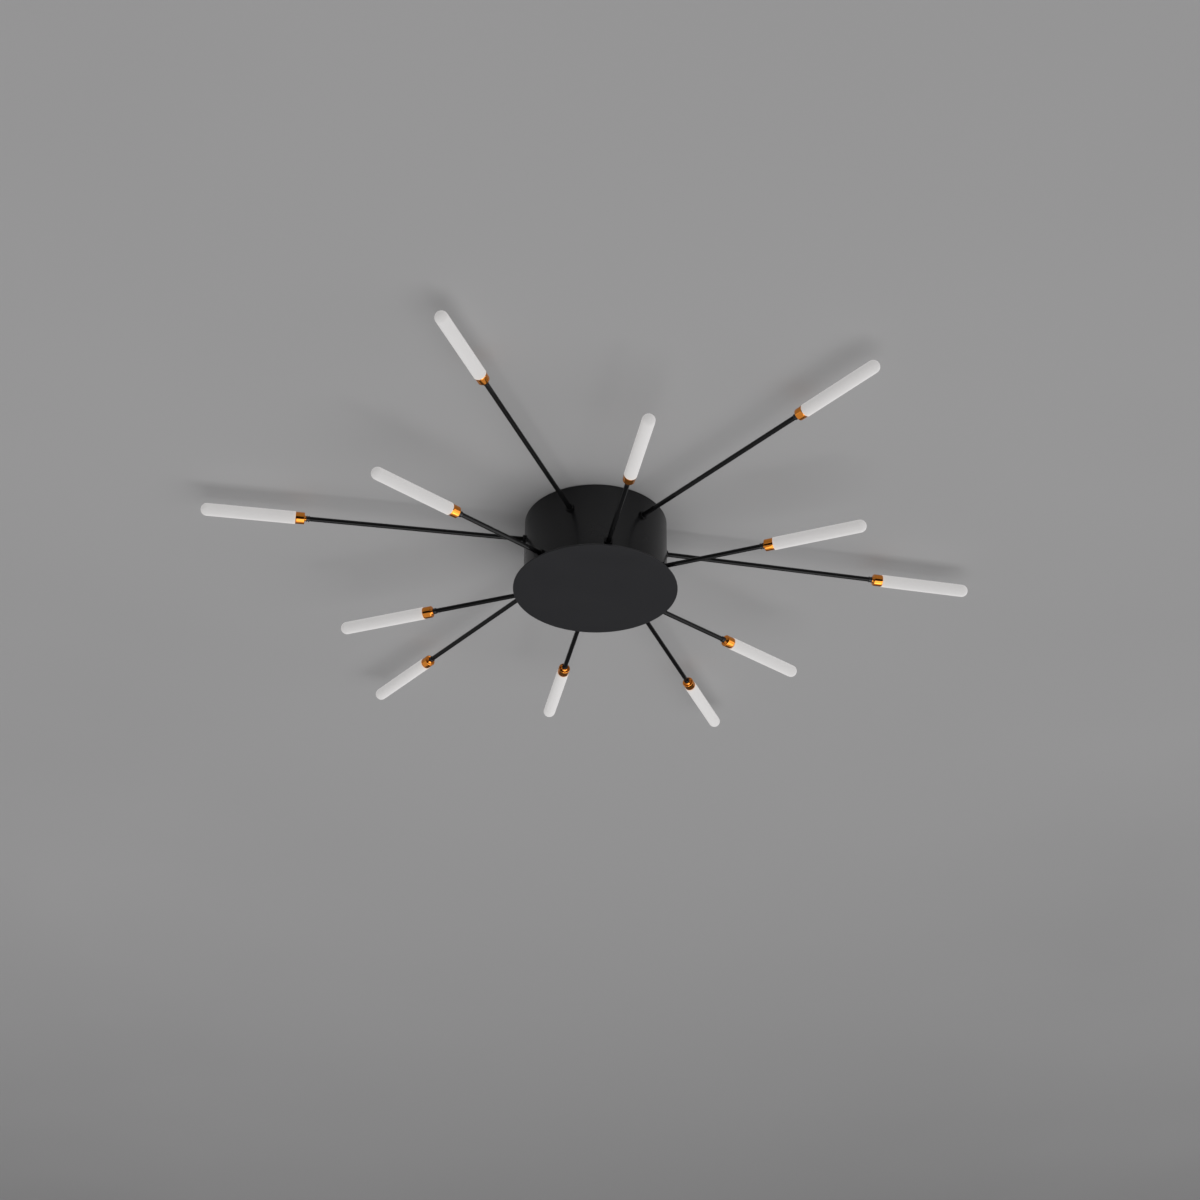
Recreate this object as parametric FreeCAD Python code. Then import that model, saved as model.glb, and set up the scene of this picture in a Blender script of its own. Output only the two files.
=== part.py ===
import FreeCAD, Part

import math
import os

# Ceiling light: a round canopy with twelve lamp arms in two rings, six long ones above six short ones.
# Millimetres. +Z is up, z = 0 is the ceiling, and the canopy's axis is x = y = 0.
# An arm is built along +X from the canopy's axis and then turned about Z to its own place.

# Canopy drum and the disc under it
drum_diameter = 182.0
drum_height = 97.0
drum_wall = 1.2
drum_bend_radius = 2.0
flange_width = 12.0
disc_diameter = 208.0
disc_thickness = 2.0
disc_edge_round = 0.4

# Arms: the rings' heights are those of the rods' axes
arm_count = 12
first_arm_angle = 10.0
arm_off_pitch = (2.0, 0.5, -0.5, 0.5, -2.0, -0.5, -1.0, 2.0, -0.5, 0.0, 0.0, -1.5)
upper_ring_below_ceiling = 32.0
lower_ring_above_disc = 13.0
upper_tip_radius = 500.0
lower_tip_radius = 355.0

# Rods and the nuts on them
rod_diameter = 6.0
rod_bore = 4.0
rod_hole_clearance = 0.15
thread_clearance = 0.05
collar_across_flats = 10.0
collar_thickness = 3.2
lock_nut_across_flats = 10.0
lock_nut_thickness = 3.0
washer_diameter = 11.0
washer_thickness = 0.8
rod_end_past_nut = 5.0
end_nut_diameter = 7.6
end_nut_length = 4.6
end_nut_groove_depth = 0.6
end_nut_groove_width = 1.1
end_nut_chamfer = 0.4

# Cup that holds the frosted tube
cup_diameter = 15.2
cup_length = 11.5
cup_floor = 3.0
cup_wall = 0.85
cup_back_chamfer = 0.7
cup_lip_length = 1.2
cup_lip_bevel = 0.25
neck_diameter = 6.8
neck_length = 1.7
neck_chamfer = 0.3
dish_diameter = 12.6
dish_depth = 0.7
dish_middle_depth = 0.6

# Frosted tube, pushed into the cup as far as its shoulder
tube_diameter = 16.0
tube_visible_length = 118.0
tube_wall = 2.2
tube_seat_gap = 0.1
spigot_clearance = 0.25
spigot_end_gap = 0.4

# LED strip, its base plug in the cup, and the lead that feeds it through the rod
strip_width = 9.0
strip_thickness = 1.0
strip_tip_gap = 6.0
chip_length = 3.5
chip_width = 2.8
chip_height = 0.7
chip_count = 12
base_plug_thickness = 2.0
base_plug_clearance = 0.1
lead_diameter = 2.4
lead_bend_radius = 8.0
lead_level_stretch = 11.0
lead_hole_clearance = 0.2

# Ceiling bracket
bracket_width = 24.0
bracket_thickness = 2.0
bracket_bend_radius = 1.5
tab_drop = 20.0
tab_to_drum_gap = 3.8
slot_spacing = 72.0
slot_length = 22.0
slot_width = 5.0
grommet_hole_diameter = 14.0

# Cable grommet
grommet_clearance = 0.1
grommet_bore = 8.0
grommet_flange_diameter = 18.0
grommet_flange_thickness = 2.2

# M4 grub screws, studs and their nuts
screw_diameter = 4.0
grub_below_ceiling = 10.0
grub_sunk = 0.2
grub_tip_gap = 0.2
grub_socket_across_flats = 2.0
grub_socket_depth = 2.0
weld_nut_width = 8.0
weld_nut_thickness = 2.9
stud_nut_across_flats = 7.0
stud_nut_thickness = 3.2
stud_past_nut = 1.5
stud_hole_clearance = 0.3
flange_stud_count = 3

# LED driver on the disc
driver_length = 100.0
driver_width = 36.0
driver_base_thickness = 3.0
driver_case_height = 21.0
driver_case_wall = 2.0
driver_ear_width = 16.0
driver_ear_length = 12.0
driver_boss_height = 4.0
driver_boss_diameter = 5.0
driver_boss_inset = 8.0
board_thickness = 1.6
board_edge_gap = 1.0
transformer_size = (20.0, 18.0, 12.0)
capacitor_diameter = 8.0
capacitor_height = 12.0
capacitor_spacing = 12.0
choke_size = (10.0, 12.0, 9.0)
board_part_gap = 5.0
board_terminal_size = (6.0, 9.0, 8.0)

# Lead hub board above the driver
hub_diameter = 64.0
hub_pillar_height = 12.0
hub_pillar_diameter = 6.0
hub_pillar_place = 10.0
hub_pin_diameter = 2.6
hub_pin_clearance = 0.2
hub_pin_head_diameter = 4.6
hub_pin_head_height = 1.0
socket_size = (7.0, 6.5, 5.0)
socket_inset = 3.0
arm_plug_size = (6.0, 5.4, 4.0)
input_socket_size = (10.0, 8.0, 5.0)

# Terminal block on the bracket and the mains plug that pushes up into it
terminal_size = (25.5, 30.0, 13.0)
terminal_from_tab = 4.5
pole_pitch = 8.0
pole_pin_diameter = 2.2
pole_pin_length = 8.0
pole_hole_clearance = 0.3
wire_entry_diameter = 4.0
wire_entry_depth = 7.0
wire_entry_below_bracket = 4.3
terminal_screw_diameter = 3.0
terminal_screw_head_diameter = 5.5
terminal_screw_head_height = 2.0
terminal_screw_inset = 3.6
mains_plug_size = (10.0, 24.0, 9.0)
mains_plug_gap = 0.2
mains_lead_diameter = 3.6
mains_lead_bend_radius = 12.0

# Earth screw, and the slots across the screws' heads
earth_screw_place = -60.0
earth_head_diameter = 8.0
earth_head_height = 2.6
screw_slot_width = 1.0
screw_slot_depth = 1.2
screw_end_below_ceiling = 0.1

# How far a cutting shape runs past the face that it cuts
overshoot = 1.0

# Places that follow from the sizes above
drum_radius = drum_diameter / 2
drum_inner_radius = drum_radius - drum_wall
disc_top = -drum_height
disc_bottom = disc_top - disc_thickness
upper_ring_z = -upper_ring_below_ceiling
lower_ring_z = disc_top + lower_ring_above_disc
rod_radius = rod_diameter / 2
thread_hole_radius = rod_radius + thread_clearance
washer_seat = math.sqrt(drum_inner_radius ** 2 - (washer_diameter / 2) ** 2)
lock_nut_seat = washer_seat - washer_thickness
rod_inner_end = lock_nut_seat - lock_nut_thickness - rod_end_past_nut
cup_radius = cup_diameter / 2
cup_bore_radius = cup_radius - cup_wall
tube_radius = tube_diameter / 2
tube_inner_radius = tube_radius - tube_wall
spigot_radius = cup_bore_radius - spigot_clearance
cup_back_from_tip = tube_visible_length + tube_seat_gap + cup_length
screw_radius = screw_diameter / 2
screw_hole_radius = screw_radius + thread_clearance
tab_face = drum_inner_radius - tab_to_drum_gap
bracket_bottom = -bracket_thickness
stud_ring_radius = drum_inner_radius - flange_width / 2
stud_hole_radius = screw_radius + stud_hole_clearance
driver_base_top = disc_top + driver_base_thickness
driver_case_top = driver_base_top + driver_case_height
driver_stud_place = driver_length / 2 + driver_ear_length / 2
driver_board_bottom = driver_base_top + driver_boss_height
driver_board_top = driver_board_bottom + board_thickness
driver_board_length = driver_length - 2 * (driver_case_wall + board_edge_gap)
driver_lead_z = driver_board_top + board_terminal_size[2] / 2
hub_bottom = driver_case_top + hub_pillar_height
hub_top = hub_bottom + board_thickness
socket_outer_radius = hub_diameter / 2 - socket_inset
arm_plug_end = socket_outer_radius + arm_plug_size[0]
arm_plug_z = hub_top + socket_size[2] / 2
terminal_outer_x = tab_face - bracket_thickness - terminal_from_tab
terminal_inner_x = terminal_outer_x - terminal_size[0]
terminal_middle_x = (terminal_outer_x + terminal_inner_x) / 2
terminal_bottom = bracket_bottom - terminal_size[2]
mains_plug_top = terminal_bottom - mains_plug_gap
mains_plug_bottom = mains_plug_top - mains_plug_size[2]


def point(x, y, z):
    return FreeCAD.Vector(x, y, z)


def outline_face(steps):
    """Closed flat face in the XZ plane.

    A step is an (x, z) point at the end of a straight edge, or a pair of points (through, end) for an arc.
    """
    edges = []
    here = steps[0]
    for step in steps[1:] + [steps[0]]:
        is_arc = isinstance(step[0], tuple)
        end = step[1] if is_arc else step
        start_point = point(here[0], 0, here[1])
        end_point = point(end[0], 0, end[1])
        if is_arc:
            through = point(step[0][0], 0, step[0][1])
            edges.append(Part.Arc(start_point, through, end_point).toShape())
        else:
            edges.append(Part.LineSegment(start_point, end_point).toShape())
        here = end
    return Part.Face(Part.Wire(edges))


def lathe(steps, axis):
    """Solid of revolution of an outline about a row axis through the origin."""
    return outline_face(steps).revolve(point(0, 0, 0), axis, 360)


def arc_middle(centre, radius, degrees):
    """Point of a circle in the XZ plane, as the through point of an arc."""
    turn = math.radians(degrees)
    return (centre[0] + radius * math.cos(turn), centre[1] + radius * math.sin(turn))


def rod_along_x(radius, start, end, y=0.0, z=0.0):
    return Part.makeCylinder(radius, end - start, point(start, y, z), point(1, 0, 0))


def rod_along_z(radius, bottom, top, x=0.0, y=0.0):
    return Part.makeCylinder(radius, top - bottom, point(x, y, bottom), point(0, 0, 1))


def block(x_from, size, z_from, y_middle=0.0):
    """Box of size (x, y, z) that starts at x_from and z_from and is centred on y_middle."""
    return Part.makeBox(size[0], size[1], size[2], point(x_from, y_middle - size[1] / 2, z_from))


def hex_bar(across_flats, length):
    """Hexagon bar along +Z from the origin."""
    corner_radius = across_flats / 2 / math.cos(math.radians(30))
    corners = []
    for index in range(7):
        turn = math.radians(60 * index)
        corners.append(point(corner_radius * math.cos(turn), corner_radius * math.sin(turn), 0))
    return Part.Face(Part.makePolygon(corners)).extrude(point(0, 0, length))


def hex_nut(across_flats, thickness, bore_radius):
    """Hexagon nut along +Z from the origin, with both rims chamfered."""
    rim = across_flats / 2
    corner_radius = rim / math.cos(math.radians(30))
    fall = (corner_radius - rim) * math.tan(math.radians(30))
    turned = lathe([(0, 0), (rim, 0), (corner_radius, fall), (corner_radius, thickness - fall),
                    (rim, thickness), (0, thickness)], point(0, 0, 1))
    bar = hex_bar(across_flats, thickness)
    return bar.common(turned).cut(rod_along_z(bore_radius, -overshoot, thickness + overshoot))


def laid_along_x(shape, start):
    """Shape built along +Z from the origin, laid along +X from start."""
    laid = shape.copy()
    laid.rotate(point(0, 0, 0), point(0, 1, 0), 90)
    laid.translate(point(start, 0, 0))
    return laid


def lead(corners, diameter, bend_radius):
    """Round lead along straight runs joined by tangent arcs at the inner corners."""
    edges = []
    here = corners[0]
    for index in range(1, len(corners) - 1):
        corner = corners[index]
        back = (corners[index - 1] - corner).normalize()
        onward = (corners[index + 1] - corner).normalize()
        half_turn = (math.pi - back.getAngle(onward)) / 2
        tangent_length = bend_radius * math.tan(half_turn)
        arc_start = corner + back * tangent_length
        arc_end = corner + onward * tangent_length
        to_centre = (back + onward).normalize()
        sagitta_length = bend_radius / math.cos(half_turn) - bend_radius
        edges.append(Part.LineSegment(here, arc_start).toShape())
        edges.append(Part.Arc(arc_start, corner + to_centre * sagitta_length, arc_end).toShape())
        here = arc_end
    edges.append(Part.LineSegment(here, corners[-1]).toShape())
    path = Part.Wire(edges)
    start_direction = corners[1] - corners[0]
    section = Part.Wire(Part.makeCircle(diameter / 2, corners[0], start_direction))
    return path.makePipeShell([section], True, False)


def export(node, *solids):
    """Writes one node, which is one solid or a group of like solids."""
    shape = solids[0] if len(solids) == 1 else Part.makeCompound(list(solids))
    shape.exportStep("parts/" + node + ".step")


class Arm:
    """Place of one arm: even numbers are in the upper ring, odd ones in the lower."""

    def __init__(self, index):
        self.name = "%02d" % (index + 1)
        self.angle = first_arm_angle + index * 360 / arm_count + arm_off_pitch[index]
        self.is_upper = index % 2 == 0
        self.z = upper_ring_z if self.is_upper else lower_ring_z
        self.tip_radius = upper_tip_radius if self.is_upper else lower_tip_radius
        self.cup_back = self.tip_radius - cup_back_from_tip

    def put(self, shape, along=0.0, height=None):
        """Copy of a shape that was built along +X at z = 0, moved out, lifted and turned to the arm."""
        placed = shape.copy()
        placed.translate(point(along, 0, self.z if height is None else height))
        placed.rotate(point(0, 0, 0), point(0, 0, 1), self.angle)
        return placed


def make_drum(arms):
    """Pressed steel drum, open at the ceiling, with an inward flange at the bottom."""
    bend_centre = (drum_radius - drum_bend_radius, disc_top + drum_bend_radius)
    inner_bend = drum_bend_radius - drum_wall
    flange_radius = drum_inner_radius - flange_width
    drum = lathe([
        (drum_radius, 0),
        (drum_radius, bend_centre[1]),
        (arc_middle(bend_centre, drum_bend_radius, -45), (bend_centre[0], disc_top)),
        (flange_radius, disc_top),
        (flange_radius, disc_top + drum_wall),
        (bend_centre[0], disc_top + drum_wall),
        (arc_middle(bend_centre, inner_bend, -45), (drum_inner_radius, bend_centre[1])),
        (drum_inner_radius, 0),
    ], point(0, 0, 1))
    weld_depth = drum_wall / 3
    for side in (1, -1):
        weld_nut = block(drum_inner_radius - weld_nut_thickness,
                         (weld_nut_thickness + weld_depth, weld_nut_width, weld_nut_width),
                         -grub_below_ceiling - weld_nut_width / 2)
        hole = rod_along_x(screw_hole_radius, tab_face, drum_radius + overshoot, z=-grub_below_ceiling)
        if side < 0:
            weld_nut.rotate(point(0, 0, 0), point(0, 0, 1), 180)
            hole.rotate(point(0, 0, 0), point(0, 0, 1), 180)
        drum = drum.fuse(weld_nut).cut(hole)
    rod_hole = rod_along_x(rod_radius + rod_hole_clearance, rod_inner_end, drum_radius + collar_thickness)
    holes = [arm.put(rod_hole) for arm in arms]
    for x, y in flange_stud_places():
        holes.append(rod_along_z(stud_hole_radius, disc_bottom, disc_top + drum_wall + overshoot, x, y))
    return drum.cut(holes)


def flange_stud_places():
    """Places of the studs that hold the drum's flange, each below an upper arm's even pitch."""
    places = []
    for index in range(flange_stud_count):
        turn = math.radians(first_arm_angle + index * 360 / flange_stud_count)
        places.append((stud_ring_radius * math.cos(turn), stud_ring_radius * math.sin(turn)))
    return places


def make_disc():
    """Flat disc with its welded studs: a ring of them for the drum, and two for the driver."""
    disc = rod_along_z(disc_diameter / 2, disc_bottom, disc_top)
    disc = disc.makeFillet(disc_edge_round, [edge for edge in disc.Edges if len(edge.Vertexes) == 1])
    studs = []
    for x, y in flange_stud_places():
        top = disc_top + drum_wall + stud_nut_thickness + stud_past_nut
        studs.append(rod_along_z(screw_radius, disc_top - disc_thickness / 2, top, x, y))
    for x in (driver_stud_place, -driver_stud_place):
        top = driver_base_top + stud_nut_thickness + stud_past_nut
        studs.append(rod_along_z(screw_radius, disc_top - disc_thickness / 2, top, x))
    return disc.fuse(studs)


def make_stud_nuts():
    """Nuts on the disc's studs: above the drum's flange, and above the driver's ears."""
    seats = [point(x, y, disc_top + drum_wall) for x, y in flange_stud_places()]
    seats += [point(x, 0, driver_base_top) for x in (driver_stud_place, -driver_stud_place)]
    nuts = []
    for seat in seats:
        nut = hex_nut(stud_nut_across_flats, stud_nut_thickness, screw_hole_radius)
        nut.translate(seat)
        nuts.append(nut)
    return nuts


def make_rod(arm):
    """Steel tube from inside the drum to the cup's floor, with its bore for the lead."""
    outer_end = arm.cup_back + cup_floor
    rod = rod_along_x(rod_radius, rod_inner_end, outer_end)
    return arm.put(rod.cut(rod_along_x(rod_bore / 2, rod_inner_end - overshoot, outer_end + overshoot)))


def make_washer():
    ring = rod_along_x(washer_diameter / 2, lock_nut_seat, washer_seat)
    return ring.cut(rod_along_x(rod_radius + rod_hole_clearance, rod_inner_end, drum_radius))


def make_end_nut():
    """Round nut with a groove, behind the cup's neck. Its front face is at x = 0."""
    radius = end_nut_diameter / 2
    waist = radius - end_nut_groove_depth
    groove_from = -end_nut_length / 2 - end_nut_groove_width / 2
    groove_to = groove_from + end_nut_groove_width
    return lathe([
        (-end_nut_length, thread_hole_radius),
        (-end_nut_length, radius - end_nut_chamfer),
        (end_nut_chamfer - end_nut_length, radius),
        (groove_from, radius),
        (groove_from, waist),
        (groove_to, waist),
        (groove_to, radius),
        (-end_nut_chamfer, radius),
        (0, radius - end_nut_chamfer),
        (0, thread_hole_radius),
    ], point(1, 0, 0))


def make_cup():
    """Turned cup with a neck, a shallow dish in its back and a bevelled lip. Its back rim is at x = 0."""
    neck_radius = neck_diameter / 2
    dish_radius = dish_diameter / 2
    dish_middle = (dish_middle_depth, (neck_radius + dish_radius) / 2)
    return lathe([
        (-neck_length, thread_hole_radius),
        (-neck_length, neck_radius - neck_chamfer),
        (neck_chamfer - neck_length, neck_radius),
        (dish_depth, neck_radius),
        (dish_middle, (0, dish_radius)),
        (0, cup_radius - cup_back_chamfer),
        (cup_back_chamfer, cup_radius),
        (cup_length - cup_lip_length, cup_radius),
        (cup_length, cup_radius - cup_lip_bevel),
        (cup_length, cup_bore_radius),
        (cup_floor, cup_bore_radius),
        (cup_floor, thread_hole_radius),
    ], point(1, 0, 0))


def make_tube():
    """Frosted tube with a round closed tip and a turned-down spigot. The cup's back rim is at x = 0."""
    shoulder = cup_length + tube_seat_gap
    tip = shoulder + tube_visible_length
    dome_centre = (tip - tube_radius, 0)
    spigot_end = cup_floor + base_plug_thickness + spigot_end_gap
    return lathe([
        (spigot_end, tube_inner_radius),
        (spigot_end, spigot_radius),
        (shoulder, spigot_radius),
        (shoulder, tube_radius),
        (dome_centre[0], tube_radius),
        (arc_middle(dome_centre, tube_radius, 45), (tip, 0)),
        (tip - tube_wall, 0),
        (arc_middle(dome_centre, tube_inner_radius, 45), (dome_centre[0], tube_inner_radius)),
    ], point(1, 0, 0))


def make_base_plug():
    """Plug in the bottom of the cup, with the slot that the LED strip stands in."""
    plug = rod_along_x(cup_bore_radius - base_plug_clearance, cup_floor, cup_floor + base_plug_thickness)
    slot_size = (base_plug_thickness + 2 * overshoot, strip_width + 2 * base_plug_clearance,
                 strip_thickness + 2 * base_plug_clearance)
    return plug.cut(block(cup_floor - overshoot, slot_size, -slot_size[2] / 2))


def strip_length():
    return cup_length + tube_visible_length - tube_wall - strip_tip_gap - cup_floor


def make_strip():
    """Circuit strip with a row of LED chips on each side. The cup's back rim is at x = 0."""
    strip = block(cup_floor, (strip_length(), strip_width, strip_thickness), -strip_thickness / 2)
    first_chip = cup_floor + base_plug_thickness + chip_length
    pitch = (strip_length() - base_plug_thickness - 2 * chip_length) / chip_count
    chips = []
    for index in range(chip_count):
        chip_size = (chip_length, chip_width, chip_height)
        start = first_chip + index * pitch
        chips.append(block(start, chip_size, strip_thickness / 2))
        chips.append(block(start, chip_size, -strip_thickness / 2 - chip_height))
    return strip.fuse(chips)


def make_arm_lead(arm):
    """Lead from its plug at the hub, bent to the rod's height, and on through the rod to the LED strip."""
    corners = [
        point(arm_plug_end, 0, arm_plug_z),
        point(arm_plug_end + lead_level_stretch, 0, arm_plug_z),
        point(rod_inner_end - lead_level_stretch, 0, arm.z),
        point(arm.cup_back + cup_floor, 0, arm.z),
    ]
    return arm.put(lead(corners, lead_diameter, lead_bend_radius), height=0)


def make_arm_plug(arm):
    return arm.put(block(socket_outer_radius, arm_plug_size, -arm_plug_size[2] / 2), height=arm_plug_z)


def make_bracket():
    """Steel bar against the ceiling with a tab turned down at each end."""
    outer = bracket_bend_radius + bracket_thickness
    half = []
    half.append((tab_face, -tab_drop))
    half.append((tab_face, -outer))
    bend_centre = (tab_face - outer, -outer)
    half.append((arc_middle(bend_centre, outer, 45), (bend_centre[0], 0)))
    inner_half = [(bend_centre[0], bracket_bottom)]
    inner_half.append((arc_middle(bend_centre, bracket_bend_radius, 45),
                       (tab_face - bracket_thickness, -outer)))
    inner_half.append((tab_face - bracket_thickness, -tab_drop))
    right = outline_face(half + [(0, 0), (0, bracket_bottom)] + inner_half)
    right.translate(point(0, -bracket_width / 2, 0))
    right_half = right.extrude(point(0, bracket_width, 0))
    left_half = right_half.copy()
    left_half.rotate(point(0, 0, 0), point(0, 0, 1), 180)
    bracket = right_half.fuse(left_half).removeSplitter()
    below, above = bracket_bottom - overshoot, overshoot
    cuts = [rod_along_z(grommet_hole_diameter / 2, below, above)]
    cuts.append(rod_along_z(screw_hole_radius, below, above, earth_screw_place))
    for x, y in terminal_screw_places():
        cuts.append(rod_along_z(terminal_screw_diameter / 2 + thread_clearance, below, above, x, y))
    slot_run = slot_length - slot_width
    for middle in (slot_spacing / 2, -slot_spacing / 2):
        cuts.append(block(middle - slot_run / 2, (slot_run, slot_width, above - below), below))
        for end in (slot_run / 2, -slot_run / 2):
            cuts.append(rod_along_z(slot_width / 2, below, above, middle + end))
    return bracket.cut(cuts)


def make_grommet():
    """Rubber bush in the bracket's middle hole, with its flange underneath."""
    body_radius = grommet_hole_diameter / 2 - grommet_clearance
    flange_bottom = bracket_bottom - grommet_flange_thickness
    grommet = rod_along_z(body_radius, bracket_bottom, 0)
    flange = rod_along_z(grommet_flange_diameter / 2, flange_bottom, bracket_bottom)
    return grommet.fuse(flange).cut(rod_along_z(grommet_bore / 2, flange_bottom - overshoot, overshoot))


def make_grub_screw(side):
    """Set screw in the drum's weld nut, its flat tip against the bracket's tab."""
    start = tab_face + grub_tip_gap
    end = drum_radius - grub_sunk
    screw = rod_along_x(screw_radius, start, end)
    socket = hex_bar(grub_socket_across_flats, grub_socket_depth + overshoot)
    screw = screw.cut(laid_along_x(socket, end - grub_socket_depth))
    screw.translate(point(0, 0, -grub_below_ceiling))
    if side < 0:
        screw.rotate(point(0, 0, 0), point(0, 0, 1), 180)
    return screw


def make_pan_screw(diameter, head_diameter, head_height, head_top, shank_top, x, y):
    """Screw driven from below, with a slot across its head."""
    screw = rod_along_z(diameter / 2, head_top, shank_top, x, y)
    screw = screw.fuse(rod_along_z(head_diameter / 2, head_top - head_height, head_top, x, y))
    slot_size = (head_diameter + 2 * overshoot, screw_slot_width, screw_slot_depth + overshoot)
    return screw.cut(block(x - slot_size[0] / 2, slot_size, head_top - head_height - overshoot, y))


def terminal_screw_places():
    """The two screws stand on opposite sides of the middle pole, one near each end of the block."""
    aside = pole_pitch / 2
    return [
        (terminal_inner_x + terminal_screw_inset, aside),
        (terminal_outer_x - terminal_screw_inset, -aside),
    ]


def pole_places():
    return [index * pole_pitch for index in (-1, 0, 1)]


def make_terminal_block():
    """Three-pole block with wire entries at its inner end and plug holes underneath."""
    body = block(terminal_inner_x, terminal_size, terminal_bottom)
    hole_radius = pole_pin_diameter / 2 + pole_hole_clearance
    below = terminal_bottom - overshoot
    cuts = []
    for y in pole_places():
        cuts.append(rod_along_z(hole_radius, below, terminal_bottom + pole_pin_length,
                                terminal_middle_x, y))
        cuts.append(rod_along_x(wire_entry_diameter / 2, terminal_inner_x - overshoot,
                                terminal_inner_x + wire_entry_depth, y,
                                bracket_bottom - wire_entry_below_bracket))
    for x, y in terminal_screw_places():
        cuts.append(rod_along_z(terminal_screw_diameter / 2 + thread_clearance, below, 0, x, y))
        cuts.append(rod_along_z(terminal_screw_head_diameter / 2 + thread_clearance, below,
                                terminal_bottom + terminal_screw_head_height, x, y))
    return body.cut(cuts)


def make_terminal_screws():
    screws = []
    for x, y in terminal_screw_places():
        screws.append(make_pan_screw(terminal_screw_diameter, terminal_screw_head_diameter,
                                     terminal_screw_head_height,
                                     terminal_bottom + terminal_screw_head_height,
                                     -screw_end_below_ceiling, x, y))
    return screws


def make_mains_plug():
    """Plug with three round pins that push up into the terminal block."""
    start = terminal_middle_x - mains_plug_size[0] / 2
    plug = block(start, mains_plug_size, mains_plug_bottom)
    pins = []
    for y in pole_places():
        pins.append(rod_along_z(pole_pin_diameter / 2, mains_plug_bottom,
                                mains_plug_top + pole_pin_length - pole_hole_clearance,
                                terminal_middle_x, y))
    return plug.fuse(pins)


def make_driver_base():
    """Base plate with an ear and a stud hole at each end, and four bosses for the circuit board."""
    base = block(-driver_length / 2, (driver_length, driver_width, driver_base_thickness), disc_top)
    ear_span = driver_length + 2 * driver_ear_length
    ears = block(-ear_span / 2, (ear_span, driver_ear_width, driver_base_thickness), disc_top)
    bosses = []
    for x in (driver_length / 2 - driver_boss_inset, driver_boss_inset - driver_length / 2):
        for y in (driver_width / 2 - driver_boss_inset, driver_boss_inset - driver_width / 2):
            bosses.append(rod_along_z(driver_boss_diameter / 2, disc_top, driver_board_bottom, x, y))
    holes = []
    for x in (driver_stud_place, -driver_stud_place):
        holes.append(rod_along_z(stud_hole_radius, disc_bottom, driver_base_top + overshoot, x))
    return base.fuse([ears] + bosses).removeSplitter().cut(holes)


def make_driver_case():
    """Case open at the bottom, with lead exits at its ends and four pillars for the hub board on top."""
    case = block(-driver_length / 2, (driver_length, driver_width, driver_case_height), driver_base_top)
    room = (driver_length - 2 * driver_case_wall, driver_width - 2 * driver_case_wall,
            driver_case_height - driver_case_wall + overshoot)
    case = case.cut(block(-room[0] / 2, room, driver_base_top - overshoot))
    case = case.cut([
        rod_along_x(mains_lead_diameter / 2 + lead_hole_clearance, 0, driver_length, z=driver_lead_z),
        rod_along_x(lead_diameter / 2 + lead_hole_clearance, -driver_length, 0, z=driver_lead_z),
    ])
    pillars = []
    for x in (hub_pillar_place, -hub_pillar_place):
        for y in (hub_pillar_place, -hub_pillar_place):
            pillars.append(rod_along_z(hub_pillar_diameter / 2, driver_case_top - driver_case_wall,
                                       hub_bottom, x, y))
            pillars.append(rod_along_z(hub_pin_diameter / 2, driver_case_top, hub_top, x, y))
            pillars.append(rod_along_z(hub_pin_head_diameter / 2, hub_top,
                                       hub_top + hub_pin_head_height, x, y))
    return case.fuse(pillars)


def make_driver_board():
    """Circuit board with a terminal at each end, its transformer, two capacitors and choke."""
    board_size = (driver_board_length, driver_width - 2 * (driver_case_wall + board_edge_gap),
                  board_thickness)
    board = block(-driver_board_length / 2, board_size, driver_board_bottom)
    terminal_x = driver_board_length / 2 - board_terminal_size[0]
    capacitor_x = board_part_gap + capacitor_diameter / 2
    choke_x = capacitor_x + capacitor_diameter / 2 + board_part_gap
    parts = [
        block(terminal_x, board_terminal_size, driver_board_top),
        block(-driver_board_length / 2, board_terminal_size, driver_board_top),
        block(-transformer_size[0], transformer_size, driver_board_top),
        block(choke_x, choke_size, driver_board_top),
    ]
    for y in (capacitor_spacing / 2, -capacitor_spacing / 2):
        parts.append(rod_along_z(capacitor_diameter / 2, driver_board_top,
                                 driver_board_top + capacitor_height, capacitor_x, y))
    return board.fuse(parts)


def make_hub_board(arms):
    """Round board on the driver's pillars, with a socket for each arm and its input socket underneath."""
    board = rod_along_z(hub_diameter / 2, hub_bottom, hub_top)
    sockets = []
    for arm in arms:
        socket = block(socket_outer_radius - socket_size[0], socket_size, 0)
        sockets.append(arm.put(socket, height=hub_top))
    sockets.append(block(input_socket_outer_x(), input_socket_size, hub_bottom - input_socket_size[2]))
    holes = []
    for x in (hub_pillar_place, -hub_pillar_place):
        for y in (hub_pillar_place, -hub_pillar_place):
            holes.append(rod_along_z(hub_pin_diameter / 2 + hub_pin_clearance,
                                     hub_bottom - overshoot, hub_top + overshoot, x, y))
    return board.fuse(sockets).cut(holes)


def input_socket_outer_x():
    return socket_inset - hub_diameter / 2


def make_driver_leads():
    """Mains lead up to the plug at the terminal block, and output lead back over the case to the hub."""
    mains = lead([
        point(driver_board_length / 2, 0, driver_lead_z),
        point(terminal_middle_x, 0, driver_lead_z),
        point(terminal_middle_x, 0, mains_plug_bottom),
    ], mains_lead_diameter, mains_lead_bend_radius)
    turn_x = -driver_length / 2 - driver_ear_length
    socket_z = hub_bottom - input_socket_size[2] / 2
    output = lead([
        point(-driver_board_length / 2, 0, driver_lead_z),
        point(turn_x, 0, driver_lead_z),
        point(turn_x, 0, socket_z),
        point(input_socket_outer_x(), 0, socket_z),
    ], lead_diameter, lead_bend_radius)
    return mains, output


os.makedirs("parts", exist_ok=True)

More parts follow.
